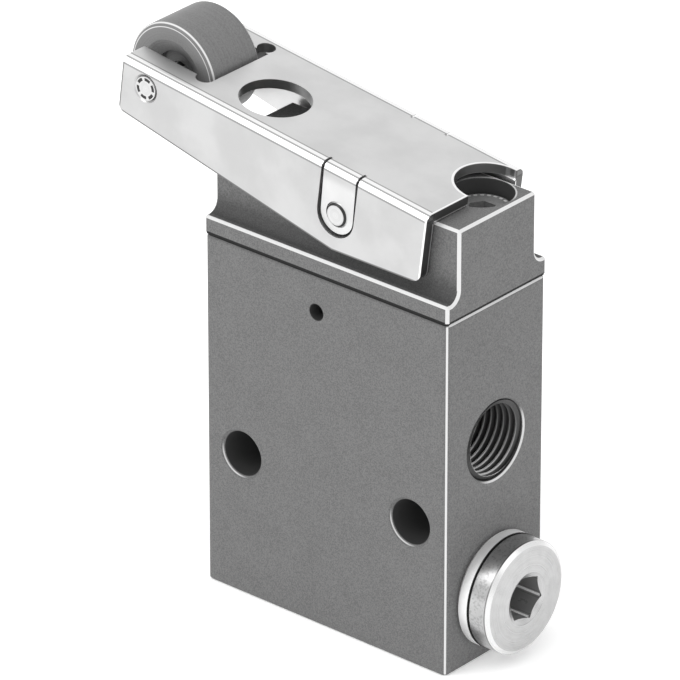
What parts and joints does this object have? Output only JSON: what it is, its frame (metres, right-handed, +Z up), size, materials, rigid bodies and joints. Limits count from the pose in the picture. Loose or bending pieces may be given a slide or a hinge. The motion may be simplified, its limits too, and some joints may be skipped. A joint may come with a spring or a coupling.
{
  "type": "roller lever air valve",
  "caption": "Air valve with a block body, threaded end ports and cross fixing holes, a stepped head, and a pressed steel roller lever on a pin that pushes a small pilot tappet.",
  "frame": {"origin": "middle of the body's flat base", "axes": "+X along the body towards the outlet port and the lever's short end, +Y to the flat back face, +Z up to the lever; the roller is on the -X side and the vent in the front face at -Y"},
  "size_m": [0.0562, 0.0172, 0.0661],
  "materials": {
    "body_metal": "matte grey anodised, fine grain, bright machined edges",
    "head_metal": "matte grey anodised, fine grain, bright machined edges",
    "lever_steel": "bright satin sheet steel",
    "roller_plastic": "turned grey plastic",
    "plug_nickel": "nickel plated, turned",
    "seal_nickel": "nickel plated, satin",
    "pin_steel": "ground steel",
    "tappet_steel": "ground steel",
    "stem_steel": "ground steel",
    "spring_steel": "drawn wire",
    "screw_steel": "blackened steel",
    "brass": "turned brass",
    "rubber": "black rubber",
    "gasket": "thin black sheet"
  },
  "bodies": {
    "housing": {"valve_body": "body_metal", "seat_sleeve": "brass", "return_spring": "spring_steel", "head_gasket": "gasket", "actuator_head": "head_metal", "head_screws": "screw_steel", "tappet_bush": "brass", "pilot_spring": "spring_steel", "pilot_cap": "brass", "pivot_pin": "pin_steel", "blanking_plug": "plug_nickel", "plug_seal": "seal_nickel"},
    "lever_arm": {"lever": "lever_steel", "roller_axle": "pin_steel"},
    "wheel": {"roller": "roller_plastic"},
    "plunger": {"tappet": "tappet_steel", "pilot_poppet": "stem_steel"},
    "spool": {"pilot_piston": "brass", "piston_seal": "rubber", "valve_stem": "stem_steel", "inlet_seal": "rubber", "exhaust_seal": "rubber"}
  },
  "joints": [
    {"name": "lever_pivot", "type": "hinge", "parent": "housing", "child": "lever_arm", "pos_m": [0.00134, 0, 0.0528], "axis": [0, -1, 0], "range_deg": [0, 8], "stiffness_Nm_per_rad": 1, "springref_deg": -11.46},
    {"name": "roller_spin", "type": "hinge", "parent": "lever_arm", "child": "wheel", "pos_m": [-0.02701, 0.0002, 0.05969], "axis": [0, 1, 0], "continuous": true},
    {"name": "tappet_slide", "type": "slide", "parent": "housing", "child": "plunger", "axis": [0, 0, -1], "range_m": [0, 0.0011], "deforming": ["pilot_spring"]},
    {"name": "piston_slide", "type": "slide", "parent": "housing", "child": "spool", "axis": [0, 0, -1], "range_m": [0, 0.0015], "stiffness_N_per_m": 2000, "springref_m": -0.004, "deforming": ["return_spring"]}
  ],
  "couplings": [
    {"joint": "tappet_slide", "follows": "lever_pivot", "m_per_rad": 0.0074}
  ]
}
